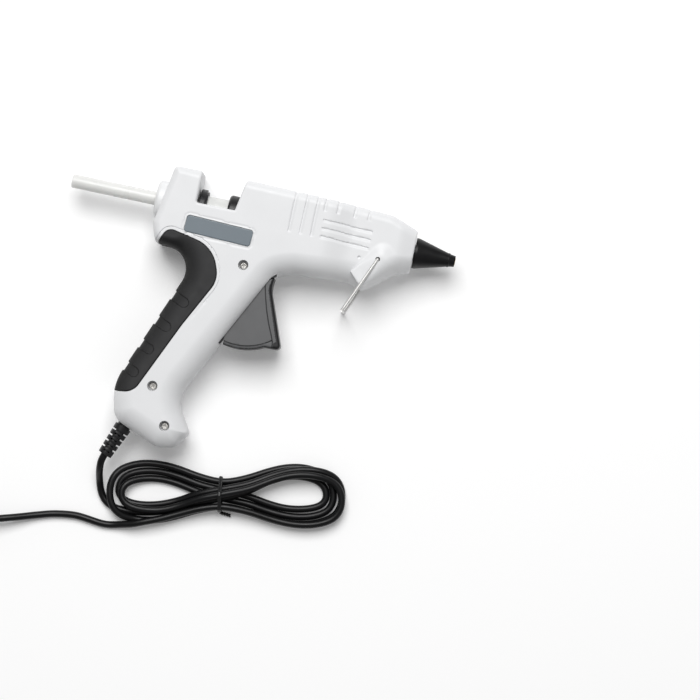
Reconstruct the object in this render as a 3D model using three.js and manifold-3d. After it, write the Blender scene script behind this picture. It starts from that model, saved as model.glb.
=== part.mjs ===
// A corded hot glue gun lying on its right side, with its stick loaded and its lead in a tied hank.
// Units are millimetres. The gun is drawn in its own frame: x = 0 at the nozzle tip and +x forward
// along the barrel, y = 0 on the barrel axis and +y up as it is held, z = 0 on the parting plane of
// the two housing halves. One group then moves it so that the object's origin is the middle of its
// footprint, on the floor it lies on, with +z up.
import * as THREE from 'three';
import { mergeVertices } from 'three/addons/utils/BufferGeometryUtils.js';
import Module from 'manifold-3d';

const wasm = await Module();
wasm.setup();

// ---- driving dimensions ----
const GAP = 0.3; // clearance left between pieces that touch
const HALF_WIDTH = 17; // of the housing, from the parting plane
const NOSE_HALF = 14.2; // of the narrower nose, between the stand's legs
const EDGE = 5; // rounding of the housing's long edges
const WALL = 2.3;
const GRIP_THICK = 2;
const BODY_FRONT = -23.5;
const STICK_RADIUS = 3.8;
const STICK_END = -217.5;
const STICK_FRONT = -62;
const PIVOT = { x: -109, y: -39.8 }; // trigger pivot
const TRIGGER_RADIUS = 32.8; // lower rim of the trigger, about the pivot
const TRIGGER_HALF = 9;
const ARM_LENGTH = 24.5; // pivot to drive pin
const ARM_LEAN = 14; // degrees forward of upright at rest
const STAND = { x: -42.1, y: -8.5, leg: 34.2, angle: 247, wire: 0.9, out: 16 };
const CORD_RADIUS = 2;
const SIDES = [-1, 1]; // below and above the parting plane
const CENTRE = { x: 108.75, y: 57.65 }; // from the nozzle tip and the axis to the object's origin

const SCREWS = [[-113.8, -27], [-148.8, -102.4], [-137.8, -122.6]];
const RELIEF = { x: -159.3, y: -123.4, angle: 247.9, out: 23.3 };
const HANK = { x: -99.8, y: -154, angle: 10.25, height: 11 };
const PLUG = { length: 22, wide: 26, half: 6.6, pitch: 18.6, pin: 19 };

// Corners of the housing's side profile as [x, y, radius], clockwise from the top of the nose.
const BODY = [
  [BODY_FRONT, 11.6, 0],
  [BODY_FRONT, -12, 0],
  [-31, -14, 9],
  [-47.9, -26.7, 0],
  [-56, -23.6, 0],
  [-86.5, -25.8, 14],
  [-96, -29, 9],
  [-135.1, -106.5, 16],
  [-124.3, -124, 0],
  [-130.5, -133.2, 10.5],
  [-140.5, -135.2, 12],
  [-166.6, -124.2, 10.5],
  [-171, -106, 30],
  [-138.9, -25.4, 13],
  [-166.6, -24.2, 0],
  [-167.6, -12, 0],
  [-161.9, 19.2, 0],
  [-121, 19.6, 0],
  [-70, 18.8, 0],
  [-38.5, 17.2, 10.5],
];

// Region of the side profile that the soft grip covers; it runs out past the back of the handle.
const GRIP = [
  [-180, -110.8, 0],
  [-158.5, -107.6, 9],
  [-140, -66, 60],
  [-125.8, -38, 14],
  [-132, -20.8, 9],
  [-158.5, -15.4, 5],
  [-162.5, -24, 3],
  [-162.5, -34, 0],
  [-180, -34, 0],
];

const NOTCH = [[-146.4, 40, 0], [-146.4, 1.5, 0], [-124.7, 1.5, 0], [-121.4, 20, 0], [-121.4, 40, 0]];

// ---- geometry helpers ----
function roundedShape(corners) {
  const shape = new THREE.Shape();
  const points = corners.map(([x, y]) => new THREE.Vector2(x, y));
  points.forEach((corner, i) => {
    const radius = corners[i][2];
    const before = points.at(i - 1).clone().sub(corner).normalize();
    const after = points[(i + 1) % points.length].clone().sub(corner).normalize();
    const half = Math.acos(before.dot(after)) / 2;
    const start = corner.clone().addScaledVector(before, radius / Math.tan(half));
    if (i === 0) shape.moveTo(start.x, start.y);
    else shape.lineTo(start.x, start.y);
    if (radius === 0) return;
    const inward = before.clone().add(after).normalize();
    const centre = corner.clone().addScaledVector(inward, radius / Math.sin(half));
    const from = start.sub(centre).angle();
    const end = corner.clone().addScaledVector(after, radius / Math.tan(half)).sub(centre);
    shape.absarc(centre.x, centre.y, radius, from, end.angle(), before.cross(after) > 0);
  });
  return shape;
}

/** Straight slab of a shape between two z levels, its outline grown by a distance. */
function slab(shape, low, high, grow = 0, curveSegments = 3) {
  const options = { depth: high - low, curveSegments, bevelEnabled: grow !== 0 };
  Object.assign(options, { bevelSegments: 0, bevelSize: 0, bevelThickness: 0, bevelOffset: grow });
  return new THREE.ExtrudeGeometry(shape, options).translate(0, 0, low);
}

/** Slab about z = 0 with rounded edges, set in from the shape's outline and from its half width. */
function pillow(shape, half, edge, inset = 0, curveSegments = 3, bevelSegments = 2) {
  const options = { depth: 2 * (half - inset - edge), curveSegments, bevelSegments };
  Object.assign(options, { bevelThickness: edge, bevelSize: edge, bevelOffset: -edge - inset });
  return new THREE.ExtrudeGeometry(shape, options).translate(0, 0, inset + edge - half);
}

function box(x0, x1, y0, y1, z0, z1) {
  const geometry = new THREE.BoxGeometry(x1 - x0, y1 - y0, z1 - z0);
  return geometry.translate((x0 + x1) / 2, (y0 + y1) / 2, (z0 + z1) / 2);
}

/** Box on one side of the parting plane, between two distances from it. */
function sideBox(x0, x1, y0, y1, side, near, far) {
  return side > 0 ? box(x0, x1, y0, y1, near, far) : box(x0, x1, y0, y1, -far, -near);
}

/** Cylinder, or a cone with a second radius, between two points. */
function rod(from, to, radius, endRadius = radius, sides = 20) {
  const start = new THREE.Vector3(...from);
  const along = new THREE.Vector3(...to).sub(start);
  const turn = new THREE.Quaternion();
  turn.setFromUnitVectors(new THREE.Vector3(0, 1, 0), along.clone().normalize());
  const geometry = new THREE.CylinderGeometry(endRadius, radius, along.length(), sides);
  geometry.applyQuaternion(turn);
  const middle = start.addScaledVector(along, 0.5);
  return geometry.translate(middle.x, middle.y, middle.z);
}

/** Turned piece about the x axis; rows are [x, radius], outside with rising x, then inside back. */
function turned(rows, sides = 28) {
  const profile = [...rows, rows[0]].map(([x, radius]) => new THREE.Vector2(radius, x));
  return new THREE.LatheGeometry(profile, sides).rotateZ(-Math.PI / 2);
}

/** Round tube along a smooth path through points. */
function tube(points, radius, steps, sides = 8) {
  const circle = new THREE.Shape();
  circle.absarc(0, 0, radius, 0, 2 * Math.PI);
  const path = new THREE.CatmullRomCurve3(points.map((point) => new THREE.Vector3(...point)));
  const options = { extrudePath: path, steps, curveSegments: sides / 2 }; // a full circle has twice as many
  return new THREE.ExtrudeGeometry(circle, { ...options, bevelEnabled: false });
}

function polar(centre, radius, degrees) {
  const angle = THREE.MathUtils.degToRad(degrees);
  return [centre.x + radius * Math.cos(angle), centre.y + radius * Math.sin(angle)];
}

// ---- joining and cutting ----
function solid(geometry) {
  const bare = geometry.clone();
  bare.deleteAttribute('normal');
  bare.deleteAttribute('uv');
  const merged = mergeVertices(bare, 1e-6);
  const corners = [];
  for (let i = 0; i < merged.index.count; i += 3) {
    const [a, b, c] = merged.index.array.slice(i, i + 3);
    if (a !== b && b !== c && c !== a) corners.push(a, b, c);
  }
  const vertProperties = Float32Array.from(merged.attributes.position.array);
  const triVerts = Uint32Array.from(corners);
  return new wasm.Manifold(new wasm.Mesh({ numProp: 3, vertProperties, triVerts }));
}

function geometryOf(body) {
  const { vertProperties, triVerts } = body.getMesh();
  const geometry = new THREE.BufferGeometry();
  geometry.setAttribute('position', new THREE.BufferAttribute(vertProperties, 3));
  geometry.setIndex(new THREE.BufferAttribute(triVerts, 1));
  geometry.computeVertexNormals();
  return geometry;
}

const join = (...pieces) => pieces.map(solid).reduce((all, piece) => all.add(piece));
const carve = (body, ...tools) => tools.map(solid).reduce((all, tool) => all.subtract(tool), body);

// ---- the scene graph ----
const gun = new THREE.Group();
gun.position.set(CENTRE.x, CENTRE.y, HALF_WIDTH);

function addPiece(name, shape, color, roughness, metalness = 0, parent = gun) {
  const geometry = shape.isBufferGeometry ? shape : geometryOf(shape);
  const mesh = new THREE.Mesh(geometry, new THREE.MeshStandardMaterial({ color, roughness, metalness }));
  mesh.name = name;
  parent.add(mesh);
}

const SHELL_WHITE = 0xe4e5e7;
const SOFT_BLACK = 0x2c2d2f;
const BLACK = 0x18181a;
const STEEL = 0xb9bbbe;

// ---- housing and grip ----
const bodyShape = roundedShape(BODY);
const gripShape = roundedShape(GRIP);
const notchShape = roundedShape(NOTCH);
const HALF_SPACE = 60; // taller than anything that it selects
const gripZone = (grow) => solid(slab(gripShape, -HALF_SPACE, HALF_SPACE, grow));
const bodyAt = (inset) => solid(pillow(bodyShape, HALF_WIDTH, EDGE, inset));

/** Tools that narrow the nose and bevel its lower edges, so that the stand's legs swing clear. */
function noseTrims(inset) {
  const half = HALF_WIDTH - inset;
  const beside = new THREE.Shape([
    new THREE.Vector2(-74, half + 0.01),
    new THREE.Vector2(-57, NOSE_HALF - inset),
    new THREE.Vector2(-32, NOSE_HALF - inset),
    new THREE.Vector2(-20, NOSE_HALF - 2.5 - inset),
    new THREE.Vector2(-20, 25),
    new THREE.Vector2(-74, 25),
  ]);
  const below = new THREE.Shape([
    new THREE.Vector2(half + 0.01, -12 + inset),
    new THREE.Vector2(14.6 - inset, -19.5 + inset),
    new THREE.Vector2(10 - inset, -26 + inset),
    new THREE.Vector2(10 - inset, -40),
    new THREE.Vector2(25, -40),
    new THREE.Vector2(25, -12 + inset),
  ]);
  const wedge = new THREE.ExtrudeGeometry(beside, { depth: 80, bevelEnabled: false });
  const leftWedge = wedge.rotateX(Math.PI / 2).translate(0, 40, 0);
  const bevel = new THREE.ExtrudeGeometry(below, { depth: 58, bevelEnabled: false });
  const rightBevel = bevel.rotateY(Math.PI / 2).translate(-76, 0, 0);
  return [leftWedge, rightBevel].flatMap((tool) => [tool, mirrored(tool)]);
}

/** The same piece on the other side of the parting plane. */
function mirrored(geometry) {
  const copy = geometry.clone().scale(1, 1, -1);
  const corners = copy.attributes.position;
  for (let i = 0; i < corners.count; i += 3) {
    const [x, y, z] = [corners.getX(i), corners.getY(i), corners.getZ(i)];
    corners.setXYZ(i, corners.getX(i + 1), corners.getY(i + 1), corners.getZ(i + 1));
    corners.setXYZ(i + 1, x, y, z);
  }
  return copy;
}

function cavity() {
  const open = bodyAt(WALL).subtract(gripZone(GAP + WALL));
  const behindGrip = bodyAt(WALL + GRIP_THICK + GAP);
  const walls = solid(slab(notchShape, -HALF_SPACE, HALF_SPACE, WALL));
  const noseFloor = box(-30, BODY_FRONT, -30, 30, -HALF_SPACE, HALF_SPACE);
  return carve(open.add(behindGrip).subtract(walls), noseFloor, ...noseTrims(WALL));
}

const BOSS = 4; // outer radius of the screw posts
const COUNTERBORE = 2.85;
const HEAD_SEAT = 10; // height of the seat that a screw head pulls on

function housingPosts() {
  const inner = HALF_WIDTH - WALL + 0.5;
  const posts = SCREWS.map(([x, y]) => rod([x, y, -inner], [x, y, inner], BOSS));
  const pivotPosts = SIDES.map((side) =>
    rod([PIVOT.x, PIVOT.y, side * (TRIGGER_HALF + 0.8)], [PIVOT.x, PIVOT.y, side * inner], 3.5));
  const springStop = box(-84, -82, -23, -11, -inner, inner);
  const rearCradle = box(-78.5, -76.5, -23, 17, -inner, inner);
  const frontCradle = box(-34.5, -32.5, -14, 15, -NOSE_HALF + 1.5, NOSE_HALF - 1.5);
  return [...posts, ...pivotPosts, springStop, rearCradle, frontCradle];
}

/** Everything that opens the housing: barrel bores, notch floor, trigger slot, screw and cord holes. */
function housingCuts() {
  const corners = [[-92, -21], [-92, -30]];
  for (let degrees = -75; degrees >= -127; degrees -= 6.5) {
    corners.push(polar(PIVOT, TRIGGER_RADIUS + 0.6, degrees));
  }
  corners.push([-103, -29.5], [-98, -21]);
  const slot = new THREE.Shape(corners.map(([x, y]) => new THREE.Vector2(x, y)));
  const screwCuts = SCREWS.flatMap(([x, y]) => [
    rod([x, y, HEAD_SEAT], [x, y, HALF_WIDTH + 1], COUNTERBORE),
    rod([x, y, -9], [x, y, HEAD_SEAT + 1], 1.6),
  ]);
  const [inside, outside] = [-0.6, 12].map((t) => [...polar(RELIEF, t, RELIEF.angle), 0]);
  return [
    slab(slot, -TRIGGER_HALF - 0.6, TRIGGER_HALF + 0.6),
    box(-146.4, -118, -2, 1.6, -11.2, 11.2),
    rod([-128, 0, 0], [-118, 0, 0], 11.2),
    rod([-150, 0, 0], [-145, 0, 0], 5),
    rod([-172, 0, 0], [-158, 0, 0], 8),
    rod([-80, 0, 0], [-74, 0, 0], 9.3),
    rod([-37, 0, 0], [-20, 0, 0], 8.9),
    box(-80, -36.5, -16.5, -4, -7.6, 7.6),
    rod([PIVOT.x, PIVOT.y, -13.8], [PIVOT.x, PIVOT.y, 13.8], 1.8),
    ...SIDES.map((side) => rod([STAND.x, STAND.y, side * 9.5], [STAND.x, STAND.y, side * 20], 1.25)),
    ...SIDES.map((side) => sideBox(-86, -74, -16, -12, side, 7.4, 13.6)), // the heater leads' way
    ...screwCuts,
    rod(inside, outside, 4.1),
  ];
}

/** Flat bosses that carry the wire stand on both sides of the nose. */
function standBosses() {
  const outline = roundedShape([
    [-33, -8, 4],
    [-41, -1.5, 4],
    [-50.8, -12.1, 0],
    [-55.5, -18.1, 0],
    [-48, -26, 3],
  ].reverse());
  return slab(outline, -STAND.out + STAND.wire + GAP, STAND.out - STAND.wire - GAP);
}

function buildHousing() {
  const outside = carve(bodyAt(0), ...noseTrims(0)).add(solid(standBosses()));
  const gripRoom = bodyAt(0).subtract(bodyAt(GRIP_THICK + GAP)).intersect(gripZone(GAP));
  const notch = slab(notchShape, -HALF_SPACE, HALF_SPACE);
  const badgeRecess = badgePlate(0.3, HALF_WIDTH - 1.1, HALF_WIDTH + 1);
  const hollow = carve(outside.subtract(cavity()), notch).add(join(...housingPosts()));
  const walls = carve(hollow, ...housingCuts(), badgeRecess).subtract(gripRoom);
  const grips = bodyAt(0).subtract(bodyAt(GRIP_THICK)).intersect(gripZone(0));
  for (const [name, side] of [['left', 1], ['right', -1]]) {
    const half = solid(sideBox(-300, 100, -200, 100, side, GAP / 2, HALF_SPACE));
    addPiece(`${name}_housing`, walls.intersect(half), SHELL_WHITE, 0.45);
    addPiece(`${name}_grip`, grips.intersect(half), 0x3b3c3e, 0.8);
  }
}

/** Blank plate on the side of the barrel, grown by a margin to make its recess. */
function badgePlate(grow, low, high) {
  const corners = [[-149.4, -6.2, 1.5], [-112.2, -7.5, 1.5], [-112.7, -16.4, 1.5], [-149.9, -15.3, 1.5]];
  return slab(roundedShape(corners), low, high, grow);
}

// ---- barrel: bush, carriage, heater and nozzle ----
function buildBarrel() {
  const bush = [
    [-169.7, 4.3], [-169.7, 9], [-169, 10.4], [-167.9, 10.7], [-167.9, 7.6], [-160, 7.6], [-160, 4.3],
  ];
  addPiece('rear_guide_bush', turned(bush), 0xe6e6e6, 0.5);
  const chamber = [
    [-79, STICK_RADIUS + GAP], [-79, 8.2], [-29, 8.2], [-29, 4.6], [-23, 4.6], [-23, 1.4],
    [-36, 1.6], [-42, STICK_RADIUS + GAP],
  ];
  const heaterPad = box(-72, -38, -11.5, -6, -5.5, 5.5);
  addPiece('melt_chamber', join(turned(chamber), heaterPad), 0x9b9da0, 0.45, 0.9);
  addPiece('heater_ptc', box(-70, -40, -14, -11.8, -5, 5), 0xd8d2c4, 0.6);
  addPiece('heater_clip', heaterClip(), STEEL, 0.35, 1);
  const seal = [[-112, 4.3], [-112, 6.6], [-79.4, 6.6], [-79.4, 4.3]];
  addPiece('inlet_seal', turned(seal), 0xb4553a, 0.7);
  const collar = [[-76.2, 8.5], [-76.2, 10.5], [-73, 10.5], [-73, 8.5]];
  addPiece('chamber_collar', turned(collar).translate(-0.1, 0, 0), 0x8a4b2c, 0.6);
  const nozzle = [[-22.6, 1], [-22.6, 5.2], [-13, 5.2], [-1.6, 2.2], [0, 1.9], [0, 1]];
  addPiece('nozzle', turned(nozzle), 0xb08d57, 0.35, 1);
  const cover = [[-23.2, 5.6], [-23.2, 8.6], [-21, 8.6], [-2.6, 3.4], [-1.2, 3.1], [-1.2, 2.5], [-13, 5.6]];
  addPiece('nozzle_cover', turned(cover, 36), BLACK, 0.55);
  const stick = rod([STICK_END, 0, 0], [STICK_FRONT, 0, 0], STICK_RADIUS, STICK_RADIUS, 24);
  addPiece('glue_stick', stick, 0xeeeeea, 0.35);
}

/** Spring steel clip that presses the heater against its pad: a C section, open at the top. */
function heaterClip() {
  const [x0, x1, wide, thick] = [-64, -46, 6.6, 0.7];
  const base = box(x0, x1, -15, -14.3, -wide, wide);
  return join(base, ...SIDES.map((side) => sideBox(x0, x1, -15, -9.2, side, wide - thick, wide)));
}

const RING_RADIUS = 10.5;
const SLEEVE = { radius: 7.4, back: -144.9, front: -123.4 };
const RING_BORE = SLEEVE.radius + GAP;

function buildCarriage() {
  const sleeve = [
    [SLEEVE.back, 4.3], [SLEEVE.back, SLEEVE.radius], [SLEEVE.front, SLEEVE.radius], [SLEEVE.front, 4.3],
  ];
  addPiece('carriage_sleeve', turned(sleeve), 0xe9e9e4, 0.35);
  const rearRing = [
    [-145.6, RING_BORE], [-145.6, RING_RADIUS], [-142.2, RING_RADIUS],
    [-142.2, 9.4], [-141.2, 9.4], [-141.2, RING_BORE],
  ];
  addPiece('rear_ring', turned(rearRing, 36), BLACK, 0.5);
  const frontRing = [
    [-129.4, RING_BORE], [-129.4, 9.6], [-128.4, RING_RADIUS], [-124.4, RING_RADIUS], [-124.4, RING_BORE],
  ];
  addPiece('front_ring', turned(frontRing, 36), BLACK, 0.5);
  addPiece('feed_carriage', carriageFrame(), 0x2f6f8f, 0.5);
  addPiece('return_spring', springCoil(), STEEL, 0.3, 1);
}

/** Cradle between the rings, and a tongue that runs forward to a fork open at its bottom. */
function carriageFrame() {
  const [back, front] = [-140.8, -129.8];
  const cradleRows = [[back, RING_BORE], [back, 9.4], [front, 9.4], [front, RING_BORE]];
  const cradle = solid(turned(cradleRows)).intersect(solid(box(-150, -120, -12, -0.6, -12, 12)));
  const tongue = [
    box(back, front, -14, -8.6, -3, 3),
    box(back, -98, -14, -11.1, -6.6, 6.6),
    box(-99.4, -98, -20.6, -11.1, -6.6, 6.6),
    ...SIDES.map((side) => sideBox(-107, -98, -20.6, -11.2, side, 4.7, 6.6)),
  ];
  const [pinX] = drivePin();
  const slots = box(pinX - 1.8, pinX + 1.8, -21, -14.1, -8, 8);
  const armRoom = box(pinX - 4.6, pinX + 3.3, -30, -10, -4.2, 4.2);
  return carve(cradle.add(join(...tongue)), slots, armRoom);
}

const drivePin = () => polar(PIVOT, ARM_LENGTH, 90 - ARM_LEAN);

/** Compression spring between the carriage's fork and the stop in the housing. */
function springCoil() {
  const [from, to, radius, turns, wire] = [-97.1, -84.9, 2.8, 5.5, 0.5];
  const stepsPerTurn = 10;
  const count = turns * stepsPerTurn;
  const points = [];
  for (let i = 0; i <= count; i += 1) {
    const angle = (2 * Math.PI * i) / stepsPerTurn;
    const x = from + ((to - from) * i) / count;
    points.push([x, -16.6 + radius * Math.cos(angle), radius * Math.sin(angle)]);
  }
  return tube(points, wire, count, 6);
}

// ---- trigger ----
function buildTrigger() {
  const rim = [];
  for (let degrees = -62; degrees >= -112; degrees -= 10) {
    rim.push([...polar(PIVOT, TRIGGER_RADIUS, degrees), 0]);
  }
  const lever = roundedShape([
    [-94.6, -29.5, 1],
    [-96.3, -36.5, 14],
    [-84, -68.5, 3],
    ...rim,
    [-113.5, -44, 6],
    [-114.2, -36, 4],
    [-106, -34, 0],
  ]);
  const [pinX, pinY] = drivePin();
  const arm = rod([0, 0, -3.8], [0, 0, 3.8], 2.7).translate(pinX, pinY, 0);
  const armBar = box(-2.7, 2.7, 0, ARM_LENGTH, -3.8, 3.8);
  armBar.rotateZ(THREE.MathUtils.degToRad(-ARM_LEAN)).translate(PIVOT.x, PIVOT.y, 0);
  const hub = rod([PIVOT.x, PIVOT.y, -TRIGGER_HALF], [PIVOT.x, PIVOT.y, TRIGGER_HALF], 4.6);
  const solidLever = join(pillow(lever, TRIGGER_HALF, 0.8, 0, 4, 1), hub, arm, armBar);
  const bores = [
    rod([PIVOT.x, PIVOT.y, -10], [PIVOT.x, PIVOT.y, 10], 1.8),
    rod([pinX, pinY, -10], [pinX, pinY, 10], 1.6),
  ];
  addPiece('trigger', carve(solidLever, ...bores), 0x5d5e60, 0.5);
  addPiece('drive_pin', rod([pinX, pinY, -7.4], [pinX, pinY, 7.4], 1.3, 1.3, 16), STEEL, 0.3, 1);
  const pivotPin = rod([PIVOT.x, PIVOT.y, -13.5], [PIVOT.x, PIVOT.y, 13.5], 1.5, 1.5, 16);
  addPiece('trigger_pin', pivotPin, STEEL, 0.3, 1);
}

// ---- fasteners, badge, stand ----
function buildFittings() {
  SCREWS.forEach(([x, y], i) => {
    const head = rod([x, y, HEAD_SEAT + GAP], [x, y, HEAD_SEAT + 1.9], 2.4, 2);
    const shank = rod([x, y, -8], [x, y, HEAD_SEAT + 0.5], 1.3, 1.3, 16);
    addPiece(`housing_screw_${i + 1}`, join(head, shank), STEEL, 0.3, 1);
  });
  addPiece('badge', badgePlate(0, HALF_WIDTH - 0.8, HALF_WIDTH - 0.1), 0x5b6670, 0.4, 0.3);
  addPiece('wire_stand', wireStand(), 0xd5d5d2, 0.35, 0.8);
}

/** U of bent wire: two ends turned into the bosses, two legs, and a cross bar that joins them. */
function wireStand() {
  const foot = polar(STAND, STAND.leg, STAND.angle);
  const { x, y, out, wire } = STAND;
  const pieces = [];
  for (const side of SIDES) {
    pieces.push(rod([x, y, side * 10.2], [x, y, side * out], wire, wire, 10));
    pieces.push(rod([x, y, side * out], [...foot, side * out], wire, wire, 10));
    const ball = new THREE.SphereGeometry(wire, 10, 6);
    pieces.push(ball.clone().translate(x, y, side * out), ball.clone().translate(...foot, side * out));
  }
  pieces.push(rod([...foot, -out], [...foot, out], wire, wire, 10));
  return join(...pieces);
}

// ---- wiring inside the housing ----
function buildWiring() {
  const inside = [
    [...polar(RELIEF, 1, RELIEF.angle), 0], [RELIEF.x, RELIEF.y, 0], [-157.9, -120.2, 0],
    [-156.3, -117.4, 0], [-152.6, -114, 0], [-148, -110.8, 0], [-143.4, -105.4, 0], [-141, -96, 0],
  ];
  addPiece('cord_inside', tube(inside, CORD_RADIUS, 18), BLACK, 0.55);
  addPiece('strain_relief', strainRelief(), BLACK, 0.6);
  const clampAt = { x: -152.5, y: -114.1, angle: 132 };
  const clamp = box(-7.6, 7.6, -2.6, 2.6, 2.3, 4.3).rotateZ(THREE.MathUtils.degToRad(clampAt.angle));
  clamp.translate(clampAt.x, clampAt.y, 0);
  const clampHoles = SIDES.map((side) => polar(clampAt, side * 5, clampAt.angle));
  const drilled = carve(solid(clamp), ...clampHoles.map(([x, y]) => rod([x, y, 0], [x, y, 6], 1.4)));
  addPiece('cord_clamp', drilled, 0xb6a27a, 0.7);
  clampHoles.forEach(([x, y], i) => {
    const head = rod([x, y, 4.3 + GAP], [x, y, 6], 2.1, 1.8, 16);
    const shank = rod([x, y, -6], [x, y, 5], 1.1, 1.1, 12);
    addPiece(`cord_clamp_screw_${i + 1}`, join(head, shank), STEEL, 0.3, 1);
  });
  for (const [name, side, color] of [['live', 1, 0x8a4a1e], ['neutral', -1, 0x2b5d9e]]) {
    const crimpAt = [-137.5, -84, side * 4];
    addPiece(`crimp_${name}`, rod(crimpAt, [-133.5, -75, side * 5], 1.8, 1.8, 12), 0xcfc9b8, 0.5);
    const lead = [
      [-133.3, -74.5, side * 5], [-129, -64, side * 11], [-125, -48, side * 12.3], [-122, -34, side * 12.3],
      [-119, -20, side * 12.3], [-108, -15, side * 12], [-92, -14, side * 12], [-80, -14, side * 12],
      [-75, -13.4, side * 8], [-71.2, -13, side * 3],
    ];
    addPiece(`lead_${name}`, tube(lead, 0.8, 36, 6), color, 0.6);
  }
}

/** Moulded relief with a flange inside the handle, a neck through its wall and six ribs outside. */
function strainRelief() {
  const neck = 3.8;
  const [ribs, firstRib] = [6, 4.8];
  const pitch = (RELIEF.out - firstRib) / ribs;
  const rows = [[-3, 5.6], [-0.8, 5.6], [-0.8, neck], [firstRib, neck]];
  for (let i = 0; i < ribs; i += 1) {
    const start = firstRib + pitch * i;
    const radius = 4.9 - 0.22 * i;
    rows.push([start, radius], [start + 2, radius], [start + 2.1, radius - 1], [start + pitch, radius - 1]);
  }
  const bore = CORD_RADIUS + GAP;
  const profile = [[-3, bore], ...rows, [RELIEF.out, bore]];
  const relief = turned(profile, 20).rotateZ(THREE.MathUtils.degToRad(RELIEF.angle));
  return relief.translate(RELIEF.x, RELIEF.y, 0);
}

// ---- free cord, hank and plug, lying on the floor; z is counted from the floor here ----
function buildCord() {
  const hank = new THREE.Group();
  hank.position.set(HANK.x, HANK.y, -HALF_WIDTH);
  hank.rotation.z = THREE.MathUtils.degToRad(HANK.angle);
  gun.add(hank);
  const addSoft = (name, shape) => addPiece(name, shape, BLACK, 0.5, 0, hank);

  const lead = [
    [-53.9, 39.5, 17], [-59.5, 30.6, 17], [-65.6, 21, 17], [-67.6, 16.8, 16.1], [-68.6, 12.4, 13],
    [-69, 7.8, 6], [-68.9, 3.2, 2.9], [-68.1, -1.2, 2.05], [-66.4, -4.4, 2.05],
  ];
  addSoft('cord_lead', tube(lead, CORD_RADIUS, 22));
  const tail = [
    [-60.6, -18.4, 2.05], [-66.6, -18.2, 2.05], [-74, -15.8, 2.05], [-83, -13.6, 2.05],
    [-94, -13.2, 2.05], [-104, -14.2, 2.6], [-113, -15.4, 4.6], [-120, -16.2, 6.2], [-125.4, -16.8, 6.5],
  ];
  addSoft('cord_tail', tube(tail, CORD_RADIUS, 18));

  const [left, right, high] = [-63.5, 68.5, 17.4];
  const outline = roundedShape([
    [left, -high, 17], [left, high, 17], [-36, high, 30], [0, 8.8, 100], [38, high + 1, 30],
    [right, high + 1, 17.5], [right, -high + 1, 17.2], [38, -high + 1, 30], [0, -8, 100], [-36, -high, 30],
  ].reverse());
  const tie = { half: 1, inner: 7.6, outer: 10.3, low: 1.2, high: HANK.height };
  const bundle = solid(slab(outline, 0, HANK.height));
  const waist = box(-tie.half - GAP, tie.half + GAP, -20, 20, -1, 20);
  const core = box(-5, 5, -tie.inner, tie.inner, tie.low + GAP, tie.high - 1);
  addSoft('cord_hank', bundle.subtract(solid(waist).subtract(solid(core))));
  const band = box(-tie.half, tie.half, -tie.outer, tie.outer, 0, tie.high + 0.6);
  const hole = box(-5, 5, -tie.inner - GAP, tie.inner + GAP, tie.low, tie.high - 1 + GAP);
  addSoft('cord_tie', carve(solid(band), hole));
  buildPlug(hank);
}

/** Flat two-pin mains plug; drawn with the cord entering at the origin and the pins along -x. */
function buildPlug(hank) {
  const plug = new THREE.Group();
  plug.position.set(-125.8, -16.85, PLUG.half);
  plug.rotation.z = THREE.MathUtils.degToRad(6);
  hank.add(plug);
  const neck = 14;
  const face = -(neck + PLUG.length);
  const outline = roundedShape([
    [face, -PLUG.wide / 2, 4], [face, PLUG.wide / 2, 4], [-neck - 12, PLUG.wide / 2, 8],
    [-neck + 2, 5.5, 3], [-neck + 2, -5.5, 3], [-neck - 12, -PLUG.wide / 2, 8],
  ].reverse());
  const filled = join(pillow(outline, PLUG.half, 2, 0, 3, 1), rod([-neck, 0, 0], [0, 0, 0], 5.2, 3.2));
  addPiece('plug_body', filled, BLACK, 0.5, 0, plug);
  SIDES.forEach((side, i) => {
    const y = (side * PLUG.pitch) / 2;
    const pin = rod([face - GAP, y, 0], [face - PLUG.pin, y, 0], 2, 2, 16);
    addPiece(`plug_pin_${i + 1}`, pin, STEEL, 0.3, 1, plug);
  });
}

gun.updateMatrixWorld();
buildHousing();
buildBarrel();
buildCarriage();
buildTrigger();
buildFittings();
buildWiring();
buildCord();

const group = new THREE.Group();
group.add(gun);
export default group;
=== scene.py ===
"""A corded hot glue gun lying on its side, with its stick loaded and its lead in a tied hank."""
import math

import bmesh
import bpy
import numpy as np
from mathutils import Matrix, Vector


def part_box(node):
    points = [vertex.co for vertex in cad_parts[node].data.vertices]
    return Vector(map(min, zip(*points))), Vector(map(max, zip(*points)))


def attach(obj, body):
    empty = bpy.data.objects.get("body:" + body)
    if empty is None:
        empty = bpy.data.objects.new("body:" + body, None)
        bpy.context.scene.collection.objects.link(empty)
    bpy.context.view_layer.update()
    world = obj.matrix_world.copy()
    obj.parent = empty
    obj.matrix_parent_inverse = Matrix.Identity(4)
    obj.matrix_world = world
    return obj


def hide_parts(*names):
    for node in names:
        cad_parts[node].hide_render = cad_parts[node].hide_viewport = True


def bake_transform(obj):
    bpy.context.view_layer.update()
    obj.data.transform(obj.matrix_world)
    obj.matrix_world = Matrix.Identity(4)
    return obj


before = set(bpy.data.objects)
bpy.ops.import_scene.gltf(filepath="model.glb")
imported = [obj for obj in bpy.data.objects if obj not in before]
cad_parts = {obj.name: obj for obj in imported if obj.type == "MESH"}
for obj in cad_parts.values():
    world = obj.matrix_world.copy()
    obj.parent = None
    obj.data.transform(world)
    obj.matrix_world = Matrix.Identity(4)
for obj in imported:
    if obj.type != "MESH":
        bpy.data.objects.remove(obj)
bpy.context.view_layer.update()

# The gun's own frame, in millimetres: x = 0 at the nozzle tip and +x forward along the barrel,
# y = 0 on the barrel axis, z = 0 on the parting plane. ORIGIN is where it lies in the part's frame.
MM = 0.001
NOZZLE_LOW, NOZZLE_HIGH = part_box("nozzle")
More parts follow.
